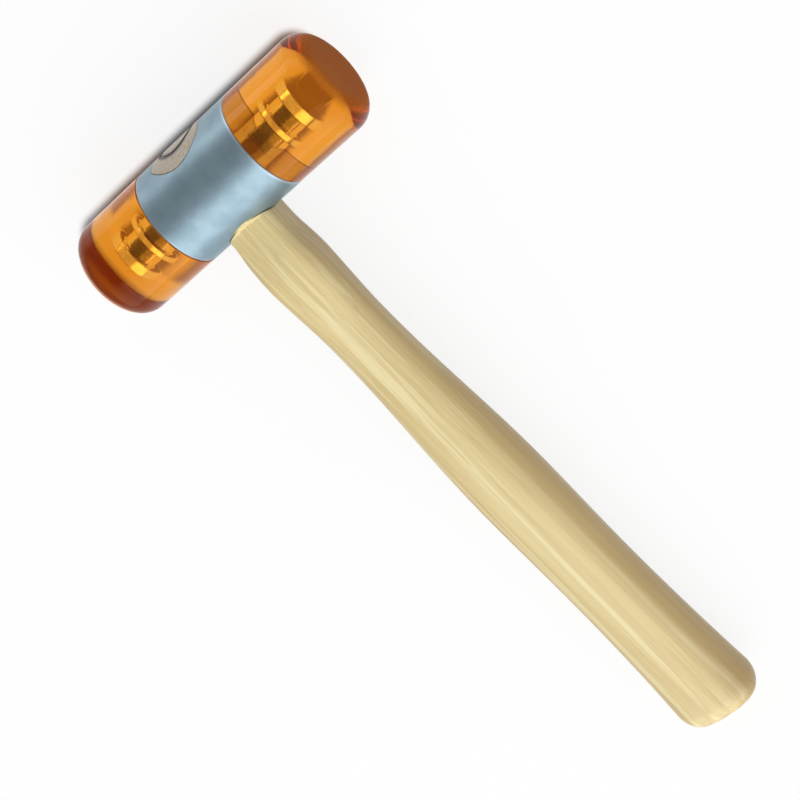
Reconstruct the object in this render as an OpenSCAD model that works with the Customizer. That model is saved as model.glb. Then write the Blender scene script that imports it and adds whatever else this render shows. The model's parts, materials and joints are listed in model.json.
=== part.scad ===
// Soft-face hammer. A round metal housing sits on a wooden handle, and a clear plastic face
// with a moulded-in threaded stud is screwed into each end of the housing. Millimetres.
// The hammer lies on its side on the plane z = 0: X runs along the head, the handle runs
// towards -Y and Z points up. The origin is under the middle of the whole hammer.

/* [Head] */
// Outside diameter of the housing and of both faces
head_d = 40; // [38:0.5:52]
// Length of the housing along the head
housing_l = 46; // [45:0.5:64]
// Bevel on the two end rims of the housing
housing_bevel = 0.8; // [0.3:0.1:1.2]
// Eye diameter on the handle's side of the head
eye_bottom_d = 22; // [20:0.5:23]
// Eye diameter on the top of the head, where the wedge spreads the wood
eye_top_d = 30; // [26:0.5:32]
// Width of the eye between its two flat sides, which face the threaded holes
eye_flat_w = 24.5; // [23.5:0.5:26]
// Distance of the eye's axis behind the middle of the housing
eye_offset = 2; // [0:0.5:3]
// Metal left between each threaded hole and the eye
hole_wall = 1; // [0.6:0.1:2]

/* [Faces] */
// Length of each plastic face outside the housing
face_l = 37; // [30:0.5:60]
// Radius of the rounded striking edge
face_edge_r = 8; // [3:0.5:12]
// Bevel on the rim that meets the housing
face_bevel = 0.4; // [0.2:0.1:1]

/* [Studs] */
// Outside diameter of the stud's thread
thread_d = 10; // [8:0.5:12]
// Chamfer on the free end of the thread
thread_chamfer = 1; // [0.4:0.1:2]
// Diameter of the two flanges that hold in the plastic
anchor_d = 14; // [13:0.5:18]
// Diameter of the groove between the flanges
groove_d = 9; // [6:0.5:10]
// Length of the plain neck inside the plastic
neck_l = 9; // [6:0.5:12]
// Thickness of the inner flange
inner_flange_t = 2.5; // [1.5:0.5:4]
// Length of the groove
groove_l = 6.5; // [4:0.5:8]
// Thickness of the outer flange
outer_flange_t = 4.5; // [2:0.5:5]

/* [Lock washers] */
// Outside diameter of the split lock washer
washer_d = 18; // [16:0.5:20]
// Thickness of the flattened washer
washer_t = 1.7; // [1:0.1:2.2]
// Width of the washer's split
washer_split = 1.5; // [0.8:0.1:3]

/* [Ring wedge] */
// Outside diameter of the ring wedge
wedge_d = 18; // [12:0.5:19]
// Wall of the ring wedge at its top
wedge_wall = 1.6; // [1.2:0.1:2.4]
// Wall of the ring wedge at its cutting edge
wedge_edge = 0.5; // [0.3:0.1:0.8]
// Length of the ring wedge
wedge_l = 12; // [8:0.5:16]
// Depth of the wedge below the surface of the head
wedge_sink = 0.3; // [0.1:0.1:1]

/* [Handle] */
// Length of the handle below the head
handle_l = 262; // [230:0.5:320]
// Distance of the squared neck below the head
neck_at = 1.5; // [1:0.5:10]
// Width of the neck along the head
neck_w = 23.5; // [20:0.5:26]
// Thickness of the neck
neck_t = 19; // [17:0.5:24]
// Distance of the swell below the head
swell_at = 25; // [18:1:35]
// Width of the swell
swell_w = 25.6; // [22:0.2:30]
// Thickness of the swell
swell_t = 21.4; // [19:0.2:26]
// Distance of the waist below the head
waist_at = 54; // [45:1:75]
// Width of the waist
waist_w = 24.8; // [20:0.2:28]
// Thickness of the waist
waist_t = 19.8; // [17:0.2:24]
// Distance of the fullest part of the grip below the head
grip_at = 141; // [110:1:160]
// Width of the grip
grip_w = 31.4; // [27:0.2:37]
// Thickness of the grip
grip_t = 23.6; // [20:0.2:30]
// Distance of the hollow behind the grip below the head
hollow_at = 180; // [170:1:205]
// Width of the hollow
hollow_w = 30.8; // [26:0.2:36]
// Thickness of the hollow
hollow_t = 23.4; // [19:0.2:28]
// Width of the flare at the butt
flare_w = 33.8; // [29:0.2:42]
// Thickness of the flare at the butt
flare_t = 26; // [22:0.2:32]
// Length of the rounding at the butt
butt_round_l = 9; // [4:0.5:16]
// How far the rounding draws the butt in on each side
butt_draw_in = 5.5; // [2:0.5:8]
// Squareness of the neck's section, where 2 is an ellipse
neck_squareness = 4.6; // [2.4:0.1:5]
// Squareness of the grip's section, where 2 is an ellipse
grip_squareness = 2.4; // [2:0.1:3]

/* [Clearances] */
// Gap at each face where a tightened face, washer and housing meet
seat_gap = 0.05; // [0.02:0.01:0.1]
// Radial gap between a stud's thread and its hole
thread_gap = 0.05; // [0.02:0.01:0.1]
// Gap between the free end of a stud and the bottom of its hole
tip_gap = 0.4; // [0.2:0.1:1]
// Radial gap of a washer in its recess and on its stud
washer_gap = 0.3; // [0.2:0.05:0.5]
// Gap of the wood in the eye and of the wedge in the wood
wood_gap = 0.05; // [0.02:0.01:0.1]
// Gap between the plastic and the stud moulded into it
mould_gap = 0.02; // [0.01:0.01:0.05]

/* [Hidden] */
$fn = 96;

// Cuts run past the surface by this much
overrun = 1;
// Points round one section of the handle, and spacing of its sections
section_points = 40;
section_step = 5;
// The tenon ends this far above the underside of the head, and the shaped handle runs on
// into it by the overlap, a little slimmer than the tenon
tenon_rise = 6;
tenon_overlap = 4;
tenon_step = 0.15;

front = 1;
rear = -1;
head_r = head_d / 2;
recess_l = washer_t + 2 * seat_gap;
anchor_l = neck_l + inner_flange_t + groove_l + outer_flange_t;
flare_at = handle_l - butt_round_l;
butt_rounding_steps = 10;

// Radius of the tapered eye at height y on the handle's axis
function eye_r(y) =
    eye_bottom_d / 2 + (eye_top_d - eye_bottom_d) / 2 * (y + head_r) / head_d;

// Both threaded holes stop short of the nearer side of the eye, and the studs of the holes
eye_half_w = min(eye_r(thread_d / 2), eye_flat_w / 2);
hole_l = housing_l / 2 - eye_offset - eye_half_w - hole_wall;
thread_l = hole_l - tip_gap;

// Angle at which the head and the butt both touch the plane that the hammer lies on
flare_reach = head_r + flare_at;
lay_angle = asin(head_r / norm([flare_reach, flare_t / 2])) - atan2(flare_t / 2, flare_reach);

// Reach of the butt from the head's axis, level with the plane, and the shift that centres it
butt_reach = (head_r + handle_l) * cos(lay_angle)
    + (flare_t / 2 - butt_draw_in) * sin(lay_angle);
centre_shift = (butt_reach - head_r) / 2;

// Places the head's own frame, X along the head and -Y along the handle, on the plane
module lying() {
    translate([0, centre_shift, head_r])
        rotate([lay_angle, 0, 0])
            children();
}

// Frame on one end of the housing, with Z pointing out of the housing
module at_end(side) {
    translate([side * housing_l / 2, 0, 0])
        rotate([0, side * 90, 0])
            children();
}

// Full round of the head, used to trim what lies flush with it
module head_round(radius) {
    rotate([0, 90, 0])
        cylinder(h = head_d, r = radius, center = true);
}

// Frame on the eye's axis, which the handle and the ring wedge share
module on_eye_axis() {
    translate([-eye_offset, 0, 0])
        children();
}

// Flat-sided taper of the eye between two heights on its axis
module eye_taper(low, high, grow) {
    intersection() {
        rotate([-90, 0, 0])
            translate([0, 0, low])
                cylinder(h = high - low, r1 = eye_r(low) + grow, r2 = eye_r(high) + grow);
        cube([eye_flat_w + 2 * grow, 3 * head_d, 2 * head_d], center = true);
    }
}

// Threaded hole with the washer's recess at its mouth
module socket() {
    translate([0, 0, -hole_l])
        cylinder(h = hole_l + overrun, d = thread_d + 2 * thread_gap);
    translate([0, 0, -recess_l])
        cylinder(h = recess_l + overrun, d = washer_d + 2 * washer_gap);
}

module housing_blank() {
    rotate([0, 90, 0])
        rotate_extrude()
            polygon([
                [0, -housing_l / 2],
                [head_r - housing_bevel, -housing_l / 2],
                [head_r, -housing_l / 2 + housing_bevel],
                [head_r, housing_l / 2 - housing_bevel],
                [head_r - housing_bevel, housing_l / 2],
                [0, housing_l / 2]
            ]);
}

module housing() {
    color([0.56, 0.63, 0.67])
        lying()
            difference() {
                housing_blank();
                on_eye_axis()
                    eye_taper(-head_r - overrun, head_r + overrun, 0);
                for (side = [rear, front])
                    at_end(side)
                        socket();
            }
}

// Flanged part of the stud inside the plastic, grown all round for its pocket
module anchor(grow) {
    cylinder(h = anchor_l, d = groove_d + 2 * grow);
    translate([0, 0, -grow])
        cylinder(h = neck_l + 2 * grow, d = thread_d + 2 * grow);
    translate([0, 0, neck_l - grow])
        cylinder(h = inner_flange_t + 2 * grow, d = anchor_d + 2 * grow);
    translate([0, 0, anchor_l - outer_flange_t - grow])
        cylinder(h = outer_flange_t + 2 * grow, d = anchor_d + 2 * grow);
}

module stud() {
    anchor(0);
    translate([0, 0, thread_chamfer - thread_l])
        cylinder(h = thread_l - thread_chamfer + overrun, d = thread_d);
    translate([0, 0, -thread_l])
        cylinder(h = thread_chamfer, d1 = thread_d - 2 * thread_chamfer, d2 = thread_d);
}

module face_profile() {
    square([head_r - face_bevel, face_l - face_edge_r]);
    translate([0, face_bevel])
        square([head_r, face_l - face_edge_r - face_bevel]);
    polygon([[0, 0], [head_r - face_bevel, 0], [head_r, face_bevel], [0, face_bevel]]);
    square([head_r - face_edge_r, face_l]);
    translate([head_r - face_edge_r, face_l - face_edge_r])
        circle(r = face_edge_r);
}

module face() {
    difference() {
        translate([0, 0, seat_gap])
            rotate_extrude()
                face_profile();
        anchor(mould_gap);
    }
}

module lock_washer() {
    translate([0, 0, seat_gap - recess_l])
        difference() {
            cylinder(h = washer_t, d = washer_d);
            translate([0, 0, -overrun])
                cylinder(h = washer_t + 2 * overrun, d = thread_d + 2 * washer_gap);
            translate([0, -washer_split / 2, -overrun])
                cube([washer_d, washer_split, washer_t + 2 * overrun]);
        }
}

module front_face() {
    color([0.93, 0.52, 0.1, 0.7])
        lying()
            at_end(front)
                face();
}

module rear_face() {
    color([0.93, 0.52, 0.1, 0.7])
        lying()
            at_end(rear)
                face();
}

module front_stud() {
    color([0.62, 0.6, 0.56])
        lying()
            at_end(front)
                stud();
}

module rear_stud() {
    color([0.62, 0.6, 0.56])
        lying()
            at_end(rear)
                stud();
}

module front_lock_washer() {
    color([0.45, 0.45, 0.47])
        lying()
            at_end(front)
                lock_washer();
}

module rear_lock_washer() {
    color([0.45, 0.45, 0.47])
        lying()
            at_end(rear)
                lock_washer();
}

// Ring with a wall that narrows from the top of the head down to a cutting edge
module wedge_ring(grow) {
    top = head_r + overrun;
    bottom = head_r - wedge_l;
    outer = wedge_d / 2;
    middle = outer - wedge_wall / 2;
    rotate([-90, 0, 0])
        rotate_extrude()
            polygon([
                [middle - wedge_edge / 2 - grow, bottom - grow],
                [middle + wedge_edge / 2 + grow, bottom - grow],
                [outer + grow, top],
                [outer - wedge_wall - grow, top]
            ]);
}

module ring_wedge() {
    color([0.5, 0.5, 0.5])
        lying()
            on_eye_axis()
                intersection() {
                    wedge_ring(0);
                    head_round(head_r - wedge_sink);
                }
}

// Eased step from one value to another between two places
function eased(x, from, to) = from + (to - from) * (1 - cos(180 * max(0, min(1, x)))) / 2;

// Distance below the head, width and thickness, where the handle is fullest or slimmest
tenon_end_d = eye_bottom_d - 2 * wood_gap - 2 * tenon_step;
stations = [
    [0, tenon_end_d, tenon_end_d],
    [neck_at, neck_w, neck_t],
    [swell_at, swell_w, swell_t],
    [waist_at, waist_w, waist_t],
    [grip_at, grip_w, grip_t],
    [hollow_at, hollow_w, hollow_t]
];

function station_before(s, i = 0) =
    i >= len(stations) - 2 || s < stations[i + 1][0] ? i : station_before(s, i + 1);

// Width (k = 1) or thickness (k = 2) between the stations
function between_stations(s, k) =
    let (i = station_before(s), a = stations[i], b = stations[i + 1])
    eased((s - a[0]) / (b[0] - a[0]), a[k], b[k]);

// Past the hollow the handle flares as a parabola, and a quarter ellipse rounds the butt
function flared(s, hollow, flare) =
    hollow + (flare - hollow) * pow((s - hollow_at) / (flare_at - hollow_at), 2);
function rounded(s, flare) =
    flare - 2 * butt_draw_in * (1 - sqrt(max(0, 1 - pow((s - flare_at) / butt_round_l, 2))));
function size_at(s, k, hollow, flare) =
    s > flare_at ? rounded(s, flare)
    : s > hollow_at ? flared(s, hollow, flare)
    : between_stations(s, k);

function squareness_at(s) =
    s < neck_at ? eased(s / neck_at, 2, neck_squareness)
    : eased((s - neck_at) / (waist_at - neck_at), neck_squareness, grip_squareness);

// One point of a superellipse
function rounded_power(v, n) = sign(v) * pow(abs(v), 2 / n);
function section_point(s, angle) = [
    size_at(s, 1, hollow_w, flare_w) / 2 * rounded_power(cos(angle), squareness_at(s)),
    -head_r - s,
    size_at(s, 2, hollow_t, flare_t) / 2 * rounded_power(sin(angle), squareness_at(s))
];

// Sections down the handle, closer together round the butt
section_places = concat(
    [-tenon_rise - tenon_overlap, 0],
    [for (s = [section_step / 2 : section_step : flare_at - section_step / 2]) s],
    [for (i = [0 : butt_rounding_steps])
        flare_at + butt_round_l * sin(90 * i / butt_rounding_steps)]
);

module shaped_handle() {
    rings = len(section_places);
    last = (rings - 1) * section_points;
    points = [for (s = section_places, j = [0 : section_points - 1])
        section_point(s, 360 * j / section_points)];
    sides = [for (i = [0 : rings - 2], j = [0 : section_points - 1], half = [0, 1])
        let (
            a = i * section_points + j,
            b = i * section_points + (j + 1) % section_points,
            c = b + section_points,
            d = a + section_points
        )
        half == 0 ? [a, c, b] : [a, d, c]];
    head_end = [for (j = [0 : section_points - 1]) j];
    butt_end = [for (j = [section_points - 1 : -1 : 0]) last + j];
    polyhedron(points, concat([head_end], sides, [butt_end]));
}

module handle() {
    color([0.88, 0.8, 0.58])
        lying()
            on_eye_axis()
                union() {
                    difference() {
                        intersection() {
                            eye_taper(tenon_rise - head_r, head_r + overrun, -wood_gap);
                            head_round(head_r);
                        }
                        wedge_ring(wood_gap);
                    }
                    shaped_handle();
                }
}

housing();
handle();
ring_wedge();
front_face();
front_stud();
front_lock_washer();
rear_face();
rear_stud();
rear_lock_washer();
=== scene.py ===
"""Soft face hammer: the looks of every piece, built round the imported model.

A zinc-plated housing sits on an ash handle, which a ring wedge spreads in the eye, and a clear
amber face with a moulded-in stud is screwed into each end of the housing. Shapes are worked out
in the head's own frame, in metres: x along the head, y from the handle to the top of the head
and z up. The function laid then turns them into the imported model's frame.
"""
import json
import math

import bmesh
import bpy
import numpy as np
from mathutils import Matrix, Vector


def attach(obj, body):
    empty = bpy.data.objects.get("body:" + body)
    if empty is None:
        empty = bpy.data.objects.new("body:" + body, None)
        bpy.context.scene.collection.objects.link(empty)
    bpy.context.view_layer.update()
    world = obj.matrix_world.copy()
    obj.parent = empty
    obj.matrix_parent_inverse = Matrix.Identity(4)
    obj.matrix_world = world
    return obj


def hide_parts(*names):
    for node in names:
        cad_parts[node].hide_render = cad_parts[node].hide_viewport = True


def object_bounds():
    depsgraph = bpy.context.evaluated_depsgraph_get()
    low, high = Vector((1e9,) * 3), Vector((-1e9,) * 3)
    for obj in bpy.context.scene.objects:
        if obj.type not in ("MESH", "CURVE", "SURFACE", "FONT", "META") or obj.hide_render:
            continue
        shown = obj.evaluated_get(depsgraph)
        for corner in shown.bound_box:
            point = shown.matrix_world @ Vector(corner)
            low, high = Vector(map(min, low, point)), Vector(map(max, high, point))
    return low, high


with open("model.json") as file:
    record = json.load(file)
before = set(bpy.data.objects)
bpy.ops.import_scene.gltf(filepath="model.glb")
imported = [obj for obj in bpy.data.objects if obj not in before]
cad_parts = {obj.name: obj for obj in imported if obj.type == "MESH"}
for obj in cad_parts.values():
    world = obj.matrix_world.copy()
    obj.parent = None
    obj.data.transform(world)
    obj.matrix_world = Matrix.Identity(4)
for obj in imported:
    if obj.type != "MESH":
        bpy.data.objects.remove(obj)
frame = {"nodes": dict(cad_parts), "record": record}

bl_info = {
    "name": "Soft face hammer",
    "version": (1, 0, 0),
    "blender": (4, 5, 0),
    "location": "View3D > Sidebar > Hammer",
    "description": "Builds a soft face hammer and its studio round the packed model",
    "category": "Add Mesh",
}

CAD_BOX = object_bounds()
MOUNTS = {mount["name"]: np.array(mount["pos_m"]) for mount in frame["record"]["mounts"]}


def unit(vector):
    """The vector, or each vector along the last axis, divided by its own length."""
    return vector / np.linalg.norm(vector, axis=-1, keepdims=True)


# The head's own frame: the middle of the head, the place where the eye's axis crosses the head's
# axis, and the frame's three directions as rows
HEAD_CENTRE = (MOUNTS["front_striking_face"] + MOUNTS["rear_striking_face"]) / 2
HEAD_AXIS = unit(MOUNTS["front_striking_face"] - HEAD_CENTRE)
EYE_PLACE = (MOUNTS["grip"] - HEAD_CENTRE) @ HEAD_AXIS * np.array([1, 0, 0])
TOP_AXIS = unit(HEAD_CENTRE + EYE_PLACE[0] * HEAD_AXIS - MOUNTS["grip"])
HEAD_FRAME = np.array([HEAD_AXIS, TOP_AXIS, np.cross(HEAD_AXIS, TOP_AXIS)])
LAY_ANGLE = math.atan2(TOP_AXIS[2], TOP_AXIS[1])


def reach(node):
    """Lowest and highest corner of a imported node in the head's own frame."""
    vertices = frame["nodes"][node].data.vertices
    points = np.empty(len(vertices) * 3)
    vertices.foreach_get("co", points)
    local = (points.reshape(-1, 3) - HEAD_CENTRE) @ HEAD_FRAME.T
    return local.min(axis=0), local.max(axis=0)


# The head rests on the floor at z = 0, so its radius is the height of its middle
HEAD_R = HEAD_CENTRE[2]
HOUSING_END = reach("housing")[1][0]
FACE_SEAT, FACE_END = (corner[0] for corner in reach("front_face"))
STUD_TIP, STUD_END = (corner[0] for corner in reach("front_stud"))
WASHER_SEAT, WASHER_TOP = (corner[0] for corner in reach("front_lock_washer"))
HANDLE_LENGTH = -reach("handle")[0][1] - HEAD_R

# Shapes: the wedge's wall up to its middle, the widest ring of the neck that still bends further
# to the head's round side, and the share of the handle's lean that is gone at the butt
WEDGE_HALF_WALL = 0.0008
SADDLE_R = HEAD_R / 2 + 0.002
LEAN_BACK = 0.6
MERGE_DISTANCE = 1e-6
SHARP_ANGLE = math.radians(40)
ROUND_COLUMNS = 144
HANDLE_COLUMNS = 192
CORNER_STEPS = 7
HALF_TURN_ABOUT_TOP = np.array([-1, 1, -1])

# Finishes: the middle of the wedge's ring, a year's growth in the wood, the place of the wood's
# pith from the head's middle, and how strongly the plastic bends light
RING_WEDGE_R = reach("ring_wedge")[1][2] - WEDGE_HALF_WALL
YEAR_RING = 0.0042
PITH_X, PITH_Z = 0.036, -0.055
PLASTIC_IOR = 1.48

# Stage: the floor, a hair below the hammer, and for each softbox its place from the hammer's
# middle, its width and its height
FLOOR_REACH = 6.0
FLOOR_LEVEL = -0.0002
KEY_BOX = (Vector((-0.4, -2.8, 2.1)), 7.2, 4.4)
FILL_BOX = (Vector((0.4, 2.6, 0.5)), 3.6, 0.9)


def length(name, description, default):
    """A length in metres that a user can change."""
    return bpy.props.FloatProperty(name=name, description=description, default=default, min=0,
                                   precision=4, subtype="DISTANCE", unit="LENGTH")


def station(name, description, default):
    """A place of the handle that a user can change, as three lengths in metres."""
    return bpy.props.FloatVectorProperty(
        name=name, description=f"{description}: distance below the head, width and thickness",
        default=default, size=3, min=0, precision=4, unit="LENGTH")


def number(name, description, default):
    """A plain number that a user can change."""
    return bpy.props.FloatProperty(name=name, description=description, default=default, min=0)


def share(name, description, default):
    """A share of a whole that a user can change."""
    return bpy.props.FloatProperty(name=name, description=description, default=default, min=0,
                                   max=1, subtype="FACTOR")


def power(name, description, default):
    """A lamp's power in watts that a user can change."""
    return bpy.props.FloatProperty(name=name, description=description, default=default, min=0,
                                   subtype="POWER", unit="POWER")


def angle(name, description, degrees):
    """An angle that a user can change."""
    return bpy.props.FloatProperty(name=name, description=description,
                                   default=math.radians(degrees), subtype="ANGLE", unit="ROTATION")


def colour(name, description, default):
    """A linear colour that a user can change."""
    return bpy.props.FloatVectorProperty(name=name, description=description, default=default,
                                         size=3, min=0, max=1, subtype="COLOR")


class HeadSizes(bpy.types.PropertyGroup):
    """Sizes of the housing, the eye, the faces, the studs and the lock washers."""

    rim_bevel: length("Rim bevel", "Rounded bevel on the two end rims of the housing", 0.0008)
    eye_bottom: length("Eye, bottom", "Eye diameter on the handle's side", 0.022)
    eye_top: length("Eye, top", "Eye diameter on the top of the head", 0.030)
    eye_flats: length("Eye, flats", "Width of the eye between its two flat sides", 0.0245)
    eye_edge: length("Eye edge", "Rounding of the metal at the mouth of the eye", 0.0006)
    hole_depth: length("Hole depth", "Depth of each threaded hole", 0.00775)
    recess_depth: length("Recess depth", "Depth of the lock washer's recess", 0.0018)
    recess_d: length("Recess diameter", "Diameter of the lock washer's recess", 0.0186)
    thread_d: length("Thread", "Outside diameter of the thread", 0.010)
    thread_pitch: length("Pitch", "Advance of the thread in one turn", 0.0015)
    thread_height: length("Thread height", "Height of the thread's ridge", 0.0008)
    thread_gap: length("Thread gap", "Gap between a stud and its hole", 0.00005)
    flange_d: length("Flanges", "Diameter of the stud's two flanges", 0.014)
    groove_d: length("Groove", "Diameter of the groove between the flanges", 0.009)
    neck_length: length("Neck", "Length of the plain neck in the plastic", 0.009)
    inner_flange: length("Inner flange", "Thickness of the flange near the housing", 0.0025)
    groove_length: length("Groove length", "Length of the groove between the flanges", 0.0065)
    stud_edge: length("Stud edges", "Rounding of the stud's edges", 0.0004)
    mould_gap: length("Mould gap", "Gap between the plastic and its stud", 0.00002)
    face_edge: length("Striking edge", "Radius of the face's rounded striking edge", 0.008)
    seat_bevel: length("Seat bevel", "Bevel of the face where it meets the housing", 0.0004)
    washer_d: length("Washer", "Outside diameter of the lock washer", 0.018)
    washer_bore: length("Washer bore", "Bore of the lock washer", 0.0106)
    washer_split: length("Washer split", "Width of the lock washer's split", 0.0015)
    washer_edge: length("Washer edge", "Rounding of the lock washer's edges", 0.0003)


class HandleSizes(bpy.types.PropertyGroup):
    """Sizes of the handle and of the ring wedge in its end."""

    tenon_gap: length("Tenon gap", "Gap of the wood in the eye and round the wedge", 0.00005)
    tenon_edge: length("Tenon edge", "Rounding of the wood at the mouth of the eye", 0.0004)
    tenon_end: length("Tenon end", "Diameter where the tenon leaves the head", 0.0216)
    tenon_rise: length("Tenon rise", "Height of the taper's end above the underside", 0.006)
    neck: station("Neck", "Squared neck, right below the shoulder", (0.0004, 0.0216, 0.019))
    swell: station("Swell", "Swell below the neck", (0.025, 0.0247, 0.0214))
    waist: station("Waist", "Waist between the swell and the grip", (0.054, 0.0246, 0.0198))
    grip: station("Grip", "Fullest part of the grip", (0.141, 0.0314, 0.0236))
    hollow: station("Hollow", "Hollow before the flare of the butt", (0.180, 0.0308, 0.0234))
    flare_w: length("Flare width", "Width of the flare at the butt", 0.0352)
    flare_t: length("Flare thickness", "Thickness of the flare at the butt", 0.026)
    lean: length("Lean", "How far the handle stands towards the rear below the head", 0.0009)
    butt_round: length("Butt rounding", "Length of the rounding at the butt", 0.009)
    butt_draw: length("Butt draw-in", "How far the rounding draws the butt in", 0.0055)
    neck_squareness: number("Neck squareness", "Power of the neck's section, 2 is an ellipse", 4.6)
    grip_squareness: number("Grip squareness", "Power of the grip's section, 2 is an ellipse", 2.4)
    wedge_d: length("Wedge", "Outside diameter of the ring wedge", 0.018)
    wedge_wall: length("Wedge wall", "Wall of the ring wedge just above the head", 0.0016)
    wedge_cut: length("Wedge edge", "Wall of the ring wedge at its cutting edge", 0.0005)
    wedge_length: length("Wedge length", "Length of the ring wedge", 0.012)
    wedge_sink: length("Wedge sink", "Depth of the wedge below the head's surface", 0.0003)
    wedge_over: length("Wedge taper top", "Height above the head where the full wall is", 0.001)


class Finishes(bpy.types.PropertyGroup):
    """Colours of the finishes."""

    zinc: colour("Zinc", "Zinc plate of the housing", (0.26, 0.355, 0.415))
    zinc_dull: colour("Dull zinc", "Duller patches of the zinc plate", (0.22, 0.31, 0.365))
    # Brighter at the rims: partly wear, partly a painted highlight along the rim bevels
    zinc_wear_and_highlight: colour("Worn zinc", "Metal worn bright at the housing's rims", (0.37, 0.45, 0.50))
    ash_pale: colour("Pale ash", "Late wood of the handle", (0.81, 0.68, 0.340))
    # Also painted shade darkening the handle's -x edge
    ash_tan_and_edge_shade: colour("Tan ash", "Early wood of the handle", (0.60, 0.42, 0.165))
    ash_light: colour("Light ash", "Lightest streaks of the handle", (0.92, 0.82, 0.480))
    # Browner end grain at the butt, and painted shade along the handle's +x flank
    ash_heart_and_flank_shade: colour("Heartwood", "Browner wood along one flank", (0.43, 0.27, 0.105))
    ash_pore: colour("Pores", "Open pores of the handle", (0.40, 0.27, 0.12))
    ash_end: colour("End grain", "End grain in the eye", (0.47, 0.43, 0.385))
    # Painted shade in the seams at the eye's mouth and round the wedge
    ash_seam_shade: colour("Dirt", "Dirt in the seams of the end grain", (0.05, 0.04, 0.035))
    amber: colour("Amber", "Tint of the plastic's surface", (1.0, 0.90, 0.70))
    # Also painted shade: the brown diffuse share near the face's struck end
    amber_haze_and_end_shade: colour("Amber haze", "Light that the plastic scatters back", (0.45, 0.122, 0.014))
    amber_seat: colour("Amber seat", "Matt seat of the plastic on the housing", (0.30, 0.13, 0.04))
    amber_gloss: colour("Amber gloss", "Tint of what the plastic reflects", (0.25, 0.18, 0.12))
    amber_depth: colour("Amber depth", "Light left after a short way through", (0.97, 0.72, 0.02))
    amber_density: number("Amber density", "How fast the plastic takes light away, per metre", 92)
    steel: colour("Stud steel", "Bright plated steel of the studs", (0.86, 0.84, 0.78))
    spring_steel: colour("Spring steel", "Dark steel of the lock washers", (0.30, 0.30, 0.31))
    wedge_steel: colour("Wedge steel", "Dark steel of the ring wedge", (0.16, 0.15, 0.15))


class StageSettings(bpy.types.PropertyGroup):
    """Camera, lamps and floor."""

    lens: bpy.props.FloatProperty(name="Lens", description="Focal length on a 36 mm sensor",
                                  default=81, subtype="DISTANCE_CAMERA")
    aim: bpy.props.FloatVectorProperty(name="Aim", description="Point the camera looks at",
                                       default=(-0.00989, 0.02711, 0.020), subtype="TRANSLATION")
    distance: length("Distance", "Distance of the camera from its aim", 0.6636)
    elevation: angle("Elevation", "Height of the camera above the horizon", 62.02)
    azimuth: angle("Azimuth", "Turn of the camera from the head's axis", 24.84)
    roll: angle("Roll", "Roll of the camera about its view", -156.19)
    key_watts: power("Key", "Power of the main softbox", 200)
    fill_watts: power("Fill", "Power of the softbox past the top of the head", 30)
    floor_glow: share("Floor glow", "Share of the floor's own white that the camera sees", 0.85)
    # The head's shadow and the shade below the studs are painted in the floor's material
    shadow_shift: length("Shadow shift", "How far the head's shadow lies to the rear", 0.0085)
    shadow_fade: length("Shadow fade", "Width of the soft edge of the head's shadow", 0.0042)
    shade_depth: share("Stud shade", "Share of the floor's white lost below the studs", 0.75)


def laid(points):
    """Points in the head's own frame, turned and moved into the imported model's frame."""
    return HEAD_CENTRE + points @ HEAD_FRAME


def ring(count):
    """Angles of evenly spaced columns round a full turn."""
    return np.arange(count) * 2 * np.pi / count


def eased(position, start, end):
    """From start to end along half a cosine wave, held at both ends."""
    return start + (end - start) * (1 - np.cos(np.pi * np.clip(position, 0, 1))) / 2


def bent(start, corner, end, t):
    """A quadratic curve that leaves start towards the corner and comes to end from it."""
    return (1 - t) ** 2 * start + 2 * t * (1 - t) * corner + t ** 2 * end


def rounded(corners, cuts):
    """A line through corners, each cut back by its own distance and joined by a quadratic curve.

    A support point half a cut further out on each side keeps the flats flat under smooth shading.
    """
    corners = np.array(corners, float)
    cuts = np.array(cuts, float)[:, None]
    before = unit(np.vstack([corners[:1] - [[0, 1]], corners[:-1]]) - corners)
    after = unit(np.vstack([corners[1:], corners[-1:] + [[0, 1]]]) - corners)
    start = (corners + before * cuts)[:, None]
    end = (corners + after * cuts)[:, None]
    t = np.linspace(0, 1, CORNER_STEPS)[:, None]
    curve = bent(start, corners[:, None], end, t)
    outer = (corners + 1.5 * before * cuts)[:, None]
    inner = (corners + 1.5 * after * cuts)[:, None]
    line = np.concatenate([outer, curve, inner], axis=1).reshape(-1, 2)
    moved = np.linalg.norm(np.diff(line, axis=0), axis=1) > MERGE_DISTANCE
    return line[np.concatenate([[True], moved])]


def about_head(x, radius, angles):
    """Rings round the head's axis from places along it and radii, one row a ring."""
    return np.stack([x + 0 * angles, radius * np.cos(angles), radius * np.sin(angles)], axis=-1)


def revolved(profile, angles):
    """A profile of (x, radius) points carried round the head's axis."""
    return about_head(*profile.T[..., None], angles)


def upright(radius, height, angles):
    """Rings round the handle's axis from radii and heights, one row a ring."""
    radius, height = np.broadcast_arrays(radius, height)
    return np.stack([radius * np.cos(angles), height, radius * np.sin(angles)], axis=-1)


def settled(step, start):
    """Repeats a slowly changing step until its values stand still."""
    value = start
    for _ in range(24):
        value = step(value)
    return value


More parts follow.
